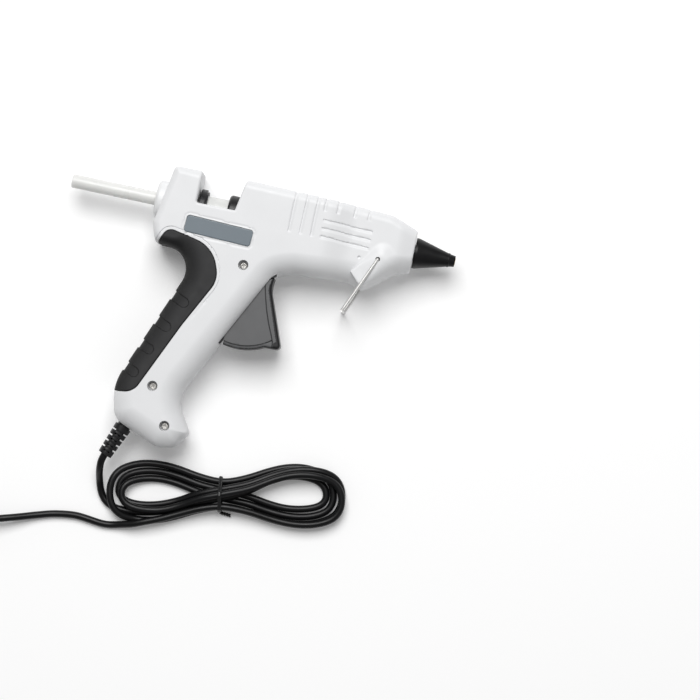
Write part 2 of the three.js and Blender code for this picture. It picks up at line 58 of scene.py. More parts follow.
ORIGIN = Vector((
    NOZZLE_HIGH[0],
    (NOZZLE_LOW[1] + NOZZLE_HIGH[1]) / 2,
    (NOZZLE_LOW[2] + NOZZLE_HIGH[2]) / 2,
))

# ---- driving dimensions ----
GAP = 0.3  # clearance between neighbouring pieces
HALF_WIDTH = 17  # from the parting plane to the flat side
NOSE_HALF = 14.2  # the same at the narrower nose
WALL = 2.3
GRIP_THICK = 2
STICK_RADIUS = 3.8
STICK_END = -217.5
STICK_FRONT = -62
PIVOT = (-109, -39.8)  # trigger pivot
TRIGGER_RADIUS = 32.8  # lower rim of the trigger, about the pivot
TRIGGER_HALF = 9
ARM_LENGTH = 24.5  # pivot to drive pin
ARM_LEAN = 14  # degrees forward of upright at rest
STAND = {"x": -42.1, "y": -8.5, "leg": 34.2, "angle": 247, "wire": 0.9, "out": 16}
CORD_RADIUS = 2
SCREWS = [(-113.8, -27), (-148.8, -102.4), (-137.8, -122.6)]
HEAD_SEAT = 10  # height of the seat that a screw head pulls on
RELIEF = {"x": -159.3, "y": -123.4, "angle": 247.9, "out": 23.3}
HANK = {"x": -99.8, "y": -154, "angle": 10.25}
PLUG_PLACE = {"x": -125.8, "y": -16.85, "angle": 6}
PLUG = {"length": 22, "wide": 26, "half": 6.6, "pitch": 18.6, "pin": 19}
CELL = 0.5  # grid pitch of the large moulded surfaces


# ---- distance fields: negative inside, in millimetres ----
class Outline:
    """Closed profile through corners (x, y, radius), each rounded by its own radius."""

    def __init__(self, corners):
        points = [Vector(c[:2]) for c in corners]
        area = sum(a.cross(b) for a, b in zip(points, points[1:] + points[:1]))
        if area < 0:
            corners, points = corners[::-1], points[::-1]
        self.arcs, ends = [], []
        for i, corner in enumerate(points):
            radius = corners[i][2]
            into = (corner - points[i - 1]).normalized()
            out = (points[(i + 1) % len(points)] - corner).normalized()
            half = (math.pi - into.angle(out)) / 2
            setback = radius / math.tan(half)
            turn = 1 if into.cross(out) > 0 else -1
            centre = corner + (out - into).normalized() * radius / math.sin(half)
            self.arcs.append((centre, radius, into, out, turn))
            ends.append((corner - into * setback, corner + out * setback))
        self.edges = [(ends[i - 1][1], ends[i][0]) for i in range(len(ends))]

    def distance(self, x, y):
        """Signed distance to the profile, from its straight edges and then its arcs."""
        best = np.full(np.broadcast(x, y).shape, 1e3)
        for start, end in self.edges:
            along = end - start
            length = along.length
            if length < 1e-6:
                continue
            along = along / length
            step = (x - start.x) * along.x + (y - start.y) * along.y
            side = (x - start.x) * along.y - (y - start.y) * along.x
            near = (step >= 0) & (step <= length) & (np.abs(side) < np.abs(best))
            best = np.where(near, side, best)
        for centre, radius, into, out, turn in self.arcs:
            dx, dy = x - centre.x, y - centre.y
            reach = turn * (np.hypot(dx, dy) - radius)
            near = (dx * into.x + dy * into.y >= -1e-6) & (dx * out.x + dy * out.y <= 1e-6)
            best = np.where(near & (np.abs(reach) < np.abs(best)), reach, best)
        return best


def both(*fields):
    result = fields[0]
    for field in fields[1:]:
        result = np.maximum(result, field)
    return result


def either(*fields):
    result = fields[0]
    for field in fields[1:]:
        result = np.minimum(result, field)
    return result


def cut(field, *tools):
    for tool in tools:
        field = np.maximum(field, -tool)
    return field


def round_both(a, b, radius):
    """Intersection with a rounded edge."""
    outer = np.hypot(np.maximum(a + radius, 0), np.maximum(b + radius, 0))
    return np.minimum(np.maximum(a, b), -radius) + outer


def round_either(a, b, radius):
    """Union with a fillet."""
    inner = np.hypot(np.maximum(radius - a, 0), np.maximum(radius - b, 0))
    return np.maximum(np.minimum(a, b), radius) - inner


def round_cut(a, tool, radius):
    """Cut with a rounded edge."""
    return round_both(a, -tool, radius)


def block(x, y, z, low, high):
    """Box between two corners."""
    fields = []
    for value, start, end in zip((x, y, z), low, high):
        fields.append(np.abs(value - (start + end) / 2) - (end - start) / 2)
    return both(*fields)


def bar(x, y, start, end, radius):
    """Flat shape with round ends about a line between two points."""
    (x0, y0), (x1, y1) = start, end
    dx, dy = x1 - x0, y1 - y0
    t = np.clip(((x - x0) * dx + (y - y0) * dy) / (dx * dx + dy * dy), 0, 1)
    return np.hypot(x - x0 - t * dx, y - y0 - t * dy) - radius


def smooth(value, start, end):
    """Eased step from 0 at start to 1 at end."""
    t = np.clip((value - start) / (end - start), 0, 1)
    return t * t * (3 - 2 * t)


def polar(centre, radius, degrees):
    angle = math.radians(degrees)
    return (centre[0] + radius * math.cos(angle), centre[1] + radius * math.sin(angle))


# ---- meshes ----
CORNERS = np.array([(i, j, k) for i in (0, 1) for j in (0, 1) for k in (0, 1)])
CELL_EDGES = [(a, b) for a in range(8) for b in range(a + 1, 8)
              if np.abs(CORNERS[a] - CORNERS[b]).sum() == 1]
NUDGE = 0.02  # step of the numerical slopes, in millimetres


def slope(field, p):
    """Unit normals of a field at points."""
    parts = []
    for axis in range(3):
        step = np.zeros(3)
        step[axis] = NUDGE
        parts.append(field(*(p + step).T) - field(*(p - step).T))
    normal = np.stack(parts, axis=1)
    return normal / np.maximum(np.linalg.norm(normal, axis=1, keepdims=True), 1e-9)


def contour(field, low, high, cell):
    """Closed mesh of a field's zero surface, with its sharp edges kept: (points, quads)."""
    axes = [np.arange(a - cell, b + 2 * cell, cell) for a, b in zip(low, high)]
    values = field(axes[0][:, None, None], axes[1][None, :, None], axes[2][None, None, :])
    inside = values < 0
    sizes = [n - 1 for n in values.shape]
    count = np.zeros(sizes, np.int8)
    for i, j, k in CORNERS:
        count += inside[i:i + sizes[0], j:j + sizes[1], k:k + sizes[2]]
    cells = np.argwhere((count > 0) & (count < 8))
    number = np.full(sizes, -1, np.int32)
    number[tuple(cells.T)] = np.arange(len(cells))
    base = np.array([axis[0] for axis in axes])
    at = cells[:, None, :] + CORNERS[None]
    held = values[at[..., 0], at[..., 1], at[..., 2]]
    normal_sum = np.zeros((len(cells), 3, 3))
    target = np.zeros((len(cells), 3))
    middle = np.zeros((len(cells), 3))
    crossings = np.zeros((len(cells), 1))
    for a, b in CELL_EDGES:
        crossed = np.flatnonzero((held[:, a] < 0) != (held[:, b] < 0))
        t = (held[crossed, a] / (held[crossed, a] - held[crossed, b]))[:, None]
        corner = at[crossed, a] * (1 - t) + at[crossed, b] * t
        point = base + corner * cell
        normal = slope(field, point)
        normal_sum[crossed] += normal[:, :, None] * normal[:, None, :]
        target[crossed] += normal * (normal * point).sum(axis=1, keepdims=True)
        middle[crossed] += point
        crossings[crossed] += 1
    middle /= crossings
    hold = 0.08  # pull of a cell's point towards the middle of its crossings
    normal_sum += hold * np.eye(3)
    target += hold * middle
    points = np.linalg.solve(normal_sum, target[:, :, None])[:, :, 0]
    start = base + cells * cell
    points = np.clip(points, start + 0.02 * cell, start + 0.98 * cell)
    quads = []
    for axis in range(3):
        u, v = (axis + 1) % 3, (axis + 2) % 3
        first = [slice(None)] * 3
        second = [slice(None)] * 3
        first[axis], second[axis] = slice(None, -1), slice(1, None)
        change = inside[tuple(first)] != inside[tuple(second)]
        edges = np.argwhere(change)
        keep = (edges[:, u] > 0) & (edges[:, v] > 0)
        keep &= (edges[:, u] < sizes[u]) & (edges[:, v] < sizes[v])
        edges = edges[keep]
        ring = []
        for du, dv in ((-1, -1), (0, -1), (0, 0), (-1, 0)):
            near = edges.copy()
            near[:, u] += du
            near[:, v] += dv
            ring.append(number[tuple(near.T)])
        faces = np.stack(ring, axis=1)
        flip = ~inside[tuple(edges.T)]
        faces[flip] = faces[flip][:, ::-1]
        quads.append(faces)
    return points, np.concatenate(quads)


def add_object(name, points, faces, finish, sharp=38):
    """Object from points in metres, in the part's frame."""
    mesh = bpy.data.meshes.new(name)
    mesh.from_pydata(np.asarray(points).tolist(), [], [tuple(map(int, face)) for face in faces])
    mesh.validate()
    mesh.shade_smooth()
    mesh.set_sharp_from_angle(angle=math.radians(sharp))
    mesh.materials.append(finish)
    piece = bpy.data.objects.new(name, mesh)
    bpy.context.collection.objects.link(piece)
    return piece


def placed(points, matrix=None):
    """Points of the gun's frame in millimetres, moved to the part's frame in metres."""
    points = np.asarray(points, float)
    if matrix is not None:
        turn = np.array(matrix)
        points = points @ turn[:3, :3].T + turn[:3, 3]
    return points * MM + np.array(ORIGIN)


def moulded(name, field, low, high, finish, cell=CELL, matrix=None):
    """Piece whose surface is the field's zero surface, between two corners of its own frame."""
    points, faces = contour(field, low, high, cell)
    return add_object(name, placed(points, matrix), faces, finish)


def moved(x, y, z=0, degrees=0):
    """Frame at a point, turned about z."""
    return Matrix.Translation((x, y, z)) @ Matrix.Rotation(math.radians(degrees), 4, "Z")


def bent_profile(rows, radius=0.35, steps=3):
    """Closed profile (x, radius) with each corner rounded a little."""
    points = [Vector(row) for row in rows]
    rounded = []
    for i, corner in enumerate(points):
        if not corner.y:
            rounded.append(corner)
            continue
        before, after = points[i - 1] - corner, points[(i + 1) % len(points)] - corner
        reach = min(radius, 0.4 * before.length, 0.4 * after.length)
        a, b = corner + before.normalized() * reach, corner + after.normalized() * reach
        for k in range(steps + 1):
            t = k / steps
            rounded.append(a * (1 - t) ** 2 + corner * 2 * t * (1 - t) + b * t ** 2)
    return rounded


def turned(name, rows, finish, sides=96, radius=0.35, matrix=None):
    """Piece turned about the x axis from a closed profile of (x, radius) rows."""
    profile = bent_profile(rows, radius)
    points, faces, n = [], [], len(profile)
    for k in range(sides):
        angle = 2 * math.pi * k / sides
        points += [(p.x, p.y * math.cos(angle), p.y * math.sin(angle)) for p in profile]
    for k in range(sides):
        here, there = k * n, ((k + 1) % sides) * n
        for i in range(n):
            j = (i + 1) % n
            if profile[i].y or profile[j].y:
                faces.append((here + i, here + j, there + j, there + i))
    piece = add_object(name, placed(points, matrix), faces, finish, sharp=50)
    clean(piece)
    return piece


def clean(piece):
    """Joins doubled points, as on a turned piece's axis, and points the faces outwards."""
    form = bmesh.new()
    form.from_mesh(piece.data)
    bmesh.ops.remove_doubles(form, verts=form.verts, dist=1e-6)
    bmesh.ops.dissolve_degenerate(form, edges=form.edges, dist=1e-7)
    bmesh.ops.recalc_face_normals(form, faces=form.faces)
    form.to_mesh(piece.data)
    form.free()


def resample(points, spacing):
    """Points at an even spacing on a smooth curve through the given ones."""
    points = np.asarray(points, float)
    padded = np.vstack([2 * points[0] - points[1], points, 2 * points[-1] - points[-2]])
    fine = []
    for p0, p1, p2, p3 in zip(padded, padded[1:], padded[2:], padded[3:]):
        for t in np.linspace(0, 1, 24, endpoint=False):
            fine.append(0.5 * (2 * p1 + (p2 - p0) * t + (2 * p0 - 5 * p1 + 4 * p2 - p3) * t ** 2
                               + (3 * p1 - p0 - 3 * p2 + p3) * t ** 3))
    fine.append(points[-1])
    fine = np.array(fine)
    lengths = np.concatenate([[0], np.cumsum(np.linalg.norm(np.diff(fine, axis=0), axis=1))])
    steps = max(2, round(lengths[-1] / spacing))
    even = np.linspace(0, lengths[-1], steps + 1)
    return np.stack([np.interp(even, lengths, fine[:, k]) for k in range(3)], axis=1)


def swept(name, path, section, finish, matrix=None):
    """Closed solid swept along a path; section(t) gives its points across, at t from 0 to 1."""
    path = np.asarray(path, float)
    tangent = np.gradient(path, axis=0)
    tangent /= np.linalg.norm(tangent, axis=1, keepdims=True)
    across = np.cross(tangent[0], (0, 0, 1))
    if np.linalg.norm(across) < 0.1:
        across = np.cross(tangent[0], (0, 1, 0))
    points, faces = [], []
    last = len(path) - 1
    for i, (at, along) in enumerate(zip(path, tangent)):
        across = across - along * (across @ along)
        across /= np.linalg.norm(across)
        up = np.cross(across, along)
        ring = section(i / last)
        points += [at + across * u + up * v for u, v in ring]
    n = len(ring)
    for i in range(last):
        for k in range(n):
            a, b = i * n + k, i * n + (k + 1) % n
            faces.append((a, b, b + n, a + n))
    faces.append(tuple(range(n))[::-1])
    faces.append(tuple(range(last * n, last * n + n)))
    piece = add_object(name, placed(points, matrix), faces, finish, sharp=60)
    clean(piece)
    return piece


def round_section(radius, sides=16, ends=0.04):
    """Circle that closes in to a round tip at both ends of the path."""
    def ring(t):
        near = min(t, 1 - t)
        size = radius * math.sqrt(max(1 - (1 - min(near / ends, 1)) ** 2, 0.02))
        angles = [2 * math.pi * k / sides for k in range(sides)]
        return [(size * math.cos(angle), size * math.sin(angle)) for angle in angles]
    return ring


# ---- materials ----
def material(name, colour, roughness, grain=2500, bump=0.02, metal=0, mottle=0.03, wear=0, painted_side_shade=0,
             **sockets):
    """Moulded or metal surface: a fine grain and a wandering roughness, with paler edges where wear is
    given, and painted shade, the colour darkened on steep sides, where its strength is given."""
    made = bpy.data.materials.new(name)
    made.use_nodes = True
    nodes, links = made.node_tree.nodes, made.node_tree.links
    shader = nodes["Principled BSDF"]
    shader.inputs["Metallic"].default_value = metal
    for socket, value in sockets.items():
        shader.inputs[socket.replace("_", " ")].default_value = value
    place = nodes.new("ShaderNodeTexCoord").outputs["Object"]

    def noise(scale, detail):
        node = nodes.new("ShaderNodeTexNoise")
        node.inputs["Scale"].default_value = scale
        node.inputs["Detail"].default_value = detail
        links.new(place, node.inputs["Vector"])
        return node.outputs["Fac"]

    def spread(value, low, high, start=0.3, end=0.7):
        node = nodes.new("ShaderNodeMapRange")
        node.inputs["From Min"].default_value = start
        node.inputs["From Max"].default_value = end
        node.inputs["To Min"].default_value = low
        node.inputs["To Max"].default_value = high
        links.new(value, node.inputs["Value"])
        return node.outputs["Result"]

    def mix(factor, a, b):
        node = nodes.new("ShaderNodeMix")
        node.data_type = "RGBA"
        links.new(factor, node.inputs[0])
        for slot, value in ((6, a), (7, b)):
            if isinstance(value, tuple):
                node.inputs[slot].default_value = value
            else:
                links.new(value, node.inputs[slot])
        return node.outputs[2]

    dark = tuple(c * (1 - mottle) for c in colour) + (1,)
    light = tuple(min(1, c * (1 + mottle)) for c in colour) + (1,)
    shade = mix(spread(noise(60, 3), 0, 1), dark, light)
    if wear:
        edge = spread(nodes.new("ShaderNodeNewGeometry").outputs["Pointiness"], 0, wear, 0.51, 0.58)
        pale = tuple(min(1, 0.35 * c + 0.3) for c in colour) + (1,)
        shade = mix(edge, shade, pale)
    # Painted shade: the colour darkens as the surface turns away from facing straight up, in place of shade
    # from the light.
    if painted_side_shade:
        normal = nodes.new("ShaderNodeSeparateXYZ")
        links.new(nodes.new("ShaderNodeNewGeometry").outputs["Normal"], normal.inputs["Vector"])
        lean = nodes.new("ShaderNodeMath")
        lean.operation = "ABSOLUTE"
        links.new(normal.outputs["Z"], lean.inputs[0])
        painted_shade_colour = tuple(c * (1 - painted_side_shade) for c in colour) + (1,)
        shade = mix(spread(lean.outputs["Value"], 0, 1, 0.5, 0.98), painted_shade_colour, shade)
    links.new(shade, shader.inputs["Base Color"])
    links.new(spread(noise(180, 4), roughness - 0.05, roughness + 0.06), shader.inputs["Roughness"])
    relief = nodes.new("ShaderNodeBump")
    relief.inputs["Strength"].default_value = 1
    relief.inputs["Distance"].default_value = bump * MM
    links.new(noise(grain, 2), relief.inputs["Height"])
    links.new(relief.outputs["Normal"], shader.inputs["Normal"])
    return made


SHELL = material("shell_white", (0.76, 0.765, 0.775), 0.42, 3200, 0.012, mottle=0.012)
# The grip's colour is darkened on its steep, rounded sides: painted shade.
RUBBER = material("grip_rubber", (0.03, 0.03, 0.031), 0.66, 1900, 0.05, mottle=0.08, painted_side_shade=0.92,
                  Specular_IOR_Level=0.3)
SLATE = material("badge_slate", (0.14, 0.172, 0.198), 0.36, 2600, 0.01, mottle=0.03)
BUSH = material("bush_white", (0.76, 0.765, 0.77), 0.4, 2600, 0.012, mottle=0.015)
MILKY = material("sleeve_milky", (0.68, 0.685, 0.67), 0.32, 1500, 0.01, Subsurface_Weight=0.3,
                 Subsurface_Scale=0.004, Subsurface_Radius=(1, 1, 1))
BLACK = material("black_plastic", (0.008, 0.008, 0.009), 0.38, 2600, 0.02, mottle=0.1, wear=0.03,
                 Specular_IOR_Level=0.4)
LEVER = material("trigger_grey", (0.098, 0.099, 0.102), 0.46, 2600, 0.02, mottle=0.05)
CARRIAGE = material("carriage_plastic", (0.03, 0.11, 0.17), 0.45, 2400, 0.02)
COVER = material("nozzle_silicone", (0.005, 0.005, 0.0055), 0.38, 2200, 0.02, mottle=0.12,
                 Specular_IOR_Level=0.25)
BRASS = material("brass", (0.62, 0.42, 0.16), 0.3, 3000, 0.006, metal=1)
ALUMINIUM = material("aluminium", (0.55, 0.56, 0.58), 0.42, 2000, 0.02, metal=1)
CERAMIC = material("heater", (0.62, 0.58, 0.5), 0.7, 1800, 0.03)
STEEL = material("steel", (0.6, 0.61, 0.62), 0.26, 3000, 0.006, metal=1)
NICKEL = material("nickel_screw", (0.8, 0.78, 0.74), 0.4, 3000, 0.004, metal=1)
WIRE = material("stand_wire", (0.66, 0.655, 0.64), 0.32, 2200, 0.01, metal=0.55)
PHENOLIC = material("phenolic", (0.2, 0.07, 0.025), 0.6, 1500, 0.04)
RED = material("red_silicone", (0.42, 0.08, 0.04), 0.62, 1500, 0.03)
BOARD = material("clamp_board", (0.42, 0.33, 0.18), 0.7, 1500, 0.04)
GLUE = material("glue", (0.73, 0.73, 0.715), 0.3, 700, 0.02, mottle=0.02, Subsurface_Weight=0.6,
                Subsurface_Scale=0.006, Subsurface_Radius=(1, 1, 1))
CORD = material("cord_pvc", (0.004, 0.004, 0.0045), 0.34, 2400, 0.015, mottle=0.12,
                Specular_IOR_Level=0.28)
BROWN = material("lead_brown", (0.16, 0.06, 0.02), 0.45, 2400, 0.01)
BLUE = material("lead_blue", (0.02, 0.07, 0.3), 0.45, 2400, 0.01)
CRIMP = material("crimp_cap", (0.6, 0.57, 0.48), 0.5, 2000, 0.02)
TIE = material("tie_black", (0.008, 0.008, 0.0085), 0.28, 1800, 0.02, mottle=0.15,
               Specular_IOR_Level=0.4)

# Pieces that keep their CAD form, all but the nozzle's tip inside the shell.
KEPT_FINISHES = {
    "melt_chamber": ALUMINIUM, "heater_ptc": CERAMIC, "heater_clip": STEEL, "inlet_seal": RED,
    "chamber_collar": PHENOLIC, "nozzle": BRASS, "feed_carriage": CARRIAGE, "drive_pin": STEEL,
    "trigger_pin": STEEL, "cord_inside": CORD, "cord_clamp": BOARD, "cord_clamp_screw_1": NICKEL,
    "cord_clamp_screw_2": NICKEL, "crimp_live": CRIMP, "crimp_neutral": CRIMP, "lead_live": BROWN,
    "lead_neutral": BLUE,
}
for NODE, FINISH in KEPT_FINISHES.items():
    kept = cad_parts[NODE]
    kept.data.materials.clear()
    kept.data.materials.append(FINISH)


def finished(piece, body, slot, *nodes):
    """Puts a piece on its body and hides the CAD nodes that it stands for; the slot argument is not used.
    """
    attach(piece, body)
    if nodes:
        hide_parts(*nodes)
    return piece


# ---- camera ----
VIEW_TURN = math.radians(12)  # the barrel points this far below level in the camera's view
LEAN_RIGHT, LEAN_DOWN = 0.01, 0.03  # slopes of the line of sight from straight down
RIGHT = Vector((math.cos(VIEW_TURN), math.sin(VIEW_TURN), 0))
UP = Vector((-math.sin(VIEW_TURN), math.cos(VIEW_TURN), 0))
BACK = (Vector((0, 0, 1)) + RIGHT * LEAN_RIGHT - UP * LEAN_DOWN).normalized()
TARGET = ORIGIN + Vector((-46.9, -60.1, 0)) * MM
VIEW_WIDTH = 0.3885  # metres across the view at the target


def add_camera():
    data = bpy.data.cameras.new("camera")
    data.lens = 150
    data.sensor_width = 36
    distance = VIEW_WIDTH * data.lens / data.sensor_width
    camera = bpy.data.objects.new("camera", data)
    across = UP.cross(BACK).normalized()
    turn = Matrix((across, BACK.cross(across), BACK)).transposed().to_4x4()
    camera.matrix_world = Matrix.Translation(TARGET + BACK * distance) @ turn
    bpy.context.collection.objects.link(camera)
    bpy.context.scene.camera = camera


# ---- cord, hank and plug; this frame lies on the floor, u along the hank ----
HANK_PLACE = moved(HANK["x"], HANK["y"], -HALF_WIDTH, HANK["angle"])
LEAD = [
    (-53.9, 39.5, 17), (-59.5, 30.6, 17), (-65.6, 21, 17), (-67.6, 16.8, 16.1), (-68.6, 12.4, 13),
    (-69, 7.8, 6), (-68.9, 3.2, 2.9), (-68.1, -1.2, 2.05), (-66.4, -4.4, 2.05),
]
TAIL = [
    (-60.6, -18.4, 2.05), (-66.6, -18.2, 2.05), (-74, -15.8, 2.05), (-83, -13.6, 2.05),
    (-94, -13.2, 2.05), (-104, -14.2, 2.6), (-113, -15.4, 4.6), (-120, -16.2, 6.2), (-125.4, -16.8, 6.5),
]
# Share of a lobe's reach, and how far the strand has swung out there towards its widest: from the waist
# up to the share WIDEST, and from the tip past it.
LOBE = [(0.22, 0.28), (0.4, 0.68), (0.56, 0.94), (0.71, 1), (0.84, 0.9), (0.94, 0.69), (0.985, 0.38)]
WIDEST = 0.72
FLOOR, SECOND, THIRD = 2.05, 5.7, 9.0  # heights of the layers of strands
# Each pass round a lobe: reach, widest going out and coming back, heights going out, at the end
# and coming back; then where the strand crosses the tie: its place across and its height.
PASSES = [
    (58.6, 12.0, -7.0, FLOOR, FLOOR, FLOOR, 2.6, 3.1),
    (-58.9, 12.4, -7.8, FLOOR, FLOOR, FLOOR, 3.0, 6.9),
    (66.4, 14.9, -14.6, SECOND, FLOOR, FLOOR, -5.8, 3.1),
    (-63.2, -15.2, 16.5, FLOOR, SECOND, FLOOR, 7.2, 3.4),
    (62.6, 17.4, -10.9, FLOOR, FLOOR, FLOOR, -1.6, 3.1),
    (-57.1, 8.5, -9.7, FLOOR, SECOND, SECOND, 0.6, 10.3),
    (67.0, 13.2, -15.1, THIRD, SECOND, SECOND, -5.7, 7.1),
]


def lobe_side(reach, waist, widest, tip, heights):
    """One strand from the waist to a lobe's tip, with its heights at the waist, the widest and the tip."""
    waist_height, widest_height, tip_height = heights
    side = []
    for share, swing in LOBE:
        if share < WIDEST:
            across = waist + (widest - waist) * swing
            height = waist_height + (widest_height - waist_height) * smooth(share, 0.1, 0.45)
        else:
            across = tip + (widest - tip) * swing
            height = widest_height + (tip_height - widest_height) * smooth(share, WIDEST, 1)
        side.append((reach * share, across, float(height)))
    return side


def hank_route():
    """Lead, the passes round the two lobes, and the tail, as loose points through each bend."""
    across, lift = -1.6, 7.0
    route = LEAD + [(-63.6, -7.6, 2.05), (-59, -10, 2.05), (-53, -11.6, 2.05), (-44, -11.3, 2.05),
                    (-33, -9.6, 2.05), (-21, -6.6, 3.2), (-10, -3.8, 6.2), (0, across, lift)]
    for reach, out, back, out_height, tip_height, back_height, next_across, next_lift in PASSES:
        tip = 0.5 * (out + back) if abs(out + back) < 4 else 0.2 * (out + back)
        route += lobe_side(reach, across, out, tip, (lift, out_height, tip_height))
        route.append((reach, tip, tip_height))
        route += lobe_side(reach, next_across, back, tip, (next_lift, back_height, tip_height))[::-1]
        route.append((0, next_across, next_lift))
        across, lift = next_across, next_lift
    route += [(-10, -6.4, 7.0), (-22, -9.6, 6.2), (-34, -13.2, 5.9), (-44, -15.2, 5.7), (-52.5, -17.2, 4.2)]
    return route + TAIL


STRAND_STEP = 1.6  # spacing of the cord's points
HELD_START, HELD_END = 18, 30  # points at the two ends that stay where the route puts them


def settle(rest, rounds):
    """Pushes the strands apart until they lie on and beside each other, each shift spread along them."""
    near = 2 * CORD_RADIUS + 0.03
    spacing = np.linalg.norm(rest[1] - rest[0])
    first, last = np.triu_indices(len(rest), int(2.4 * near / spacing))
    index = np.arange(len(rest))
    ends = smooth(index, HELD_START, HELD_START + 22) * smooth(len(rest) - index, HELD_END, HELD_END + 20)
    shift = np.zeros_like(rest)
    for turn in range(rounds):
        path = rest + shift
        if turn % 10 == 0:
            gap = path[first] - path[last]
            close = (gap ** 2).sum(axis=1) < (near + 3) ** 2
            a, b = first[close], last[close]
        gap = path[a] - path[b]
        size = np.maximum(np.linalg.norm(gap, axis=1), 1e-6)
        push = gap * (np.maximum(near - size, 0) / size * 0.35)[:, None]
        np.add.at(shift, a, push)
        np.add.at(shift, b, -push)
        for _ in range(3):
            shift[1:-1] = 0.5 * shift[1:-1] + 0.25 * (shift[:-2] + shift[2:])
        shift *= ends[:, None]
        shift[:, 2] = np.maximum(shift[:, 2], CORD_RADIUS + 0.03 - rest[:, 2])
    return rest + shift


def add_cord():
    path = resample(hank_route(), STRAND_STEP)
    for _ in range(8):
        beside = path[HELD_START - 1:-HELD_END - 1] + path[HELD_START + 1:-HELD_END + 1]
        path[HELD_START:-HELD_END] = 0.5 * path[HELD_START:-HELD_END] + 0.25 * beside
    path = settle(path, 220)
    curve = bpy.data.curves.new("mains_cord", "CURVE")
    curve.dimensions = "3D"
    curve.bevel_depth = CORD_RADIUS * MM
    curve.bevel_resolution = 6
    curve.use_fill_caps = True
    line = curve.splines.new("POLY")
    points = placed(path, HANK_PLACE)
    line.points.add(len(points) - 1)
    for spot, point in zip(line.points, points):
        spot.co = (*point, 1)
    line.use_smooth = True
    curve.materials.append(CORD)
    cord = bpy.data.objects.new("mains_cord", curve)
    bpy.context.collection.objects.link(cord)
    return finished(cord, "housing", "cord_pvc", "cord_lead", "cord_hank", "cord_tail"), points


def rounded_path(corners, radius, steps=6):
    """Path through corners, each rounded by an arc-like bend."""
    corners = [Vector(c) for c in corners]
    path = [corners[0]]
    for before, corner, after in zip(corners, corners[1:], corners[2:]):
        a = corner + (before - corner).normalized() * radius
        b = corner + (after - corner).normalized() * radius
        for k in range(steps + 1):
            t = k / steps
            path.append(a * (1 - t) ** 2 + corner * 2 * t * (1 - t) + b * t ** 2)
    path.append(corners[-1])
    return [tuple(p) for p in path]


def add_tie():
    """Wire tie once round the waist of the hank, its two ends twisted together."""
    back = np.array(HANK_PLACE.inverted())
    local = ((CORD_POINTS - np.array(ORIGIN)) / MM) @ back[:3, :3].T + back[:3, 3]
    waist = local[np.abs(local[:, 0]) < 0.9][:, 1:]
    half_width, half_thick = 1.0, 0.45
    steps = 60
    loop = []
    for k in range(steps + 1):
        angle = math.radians(-150 - 360 * k / steps)
        way = np.array((math.cos(angle), math.sin(angle)))
        far = waist[np.argmax(waist @ way)] + way * (CORD_RADIUS + half_thick + 0.25)
        loop.append((-1.5 + 0.4 * k / steps, far[0], far[1]))
    angles = np.linspace(0, 2 * math.pi, 17)[:-1]
    band = [(half_width * math.cos(a), half_thick * math.sin(a)) for a in angles]
    pieces = [swept("wire_tie", resample(loop, 0.7), lambda t: band, TIE, HANK_PLACE)]
    start = np.array(loop[0])
    for turn, name in ((0, "wire_tie_end_1"), (math.pi, "wire_tie_end_2")):
        path = []
        for k in range(34):
            t = k / 33
            spin = turn + 4.2 * math.pi * t
            path.append((start[0] + 6 * t, start[1] - 0.9 - 1.6 * t + 0.5 * math.cos(spin),
                         start[2] + 0.5 * math.sin(spin)))
        pieces.append(swept(name, path, round_section(0.55, 12), TIE, HANK_PLACE))
    for piece in pieces:
        finished(piece, "housing", "tie_black")
    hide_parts("cord_tie")
    return pieces


RELIEF_FRONT = 4.8  # where the relief leaves the handle's wall
RELIEF_SLOTS = 4
RELIEF_PITCH = 3.6


def relief_form(x, y, z):
    """Flange and neck in the wall, then a taper whose side slots alternate with slots above and below."""
    across = np.hypot(y, z)
    middle, half = (RELIEF["out"] + RELIEF_FRONT) / 2, (RELIEF["out"] - RELIEF_FRONT) / 2
    form = round_both(across - (5.1 - 0.05 * x), np.abs(x - middle) - half, 0.3)
    for i in range(RELIEF_SLOTS):
        station = x - RELIEF_FRONT - RELIEF_PITCH * (i + 1)
        web = both(np.abs(station) - 0.8, np.abs(y) - 1.6, across - (4.9 - 0.05 * x))
        form = either(cut(form, np.abs(station) - 0.5), web)
        form = cut(form, both(np.abs(station - RELIEF_PITCH / 2) - 0.45, np.abs(y) - 1.9))
    core = round_both(across - 2.6, np.abs(x - 9.9) - 13.2, 0.3)
    flange = round_both(across - 5.6, np.abs(x + 1.9) - 1.1, 0.3)
    neck = round_both(across - 3.8, np.abs(x - 2) - 2.9, 0.2)
    return cut(either(form, core, flange, neck), across - CORD_RADIUS - 0.05)


def add_relief():
    place = moved(RELIEF["x"], RELIEF["y"], 0, RELIEF["angle"])
    piece = moulded("cord_relief", relief_form, (-3.2, -6, -6), (23.6, 6, 6), BLACK, 0.28, place)
    return finished(piece, "housing", "black_plastic", "strain_relief")


PLUG_NECK = 14
PLUG_FACE = -(PLUG_NECK + PLUG["length"])
PLUG_SIDE = PLUG["wide"] / 2
PLUG_OUTLINE = Outline([
    (PLUG_FACE, -PLUG_SIDE, 3), (PLUG_FACE, PLUG_SIDE, 3), (-PLUG_NECK - 12, PLUG_SIDE, 8),
    (-PLUG_NECK + 2, 5.5, 3), (-PLUG_NECK + 2, -5.5, 3), (-PLUG_NECK - 12, -PLUG_SIDE, 8),
])


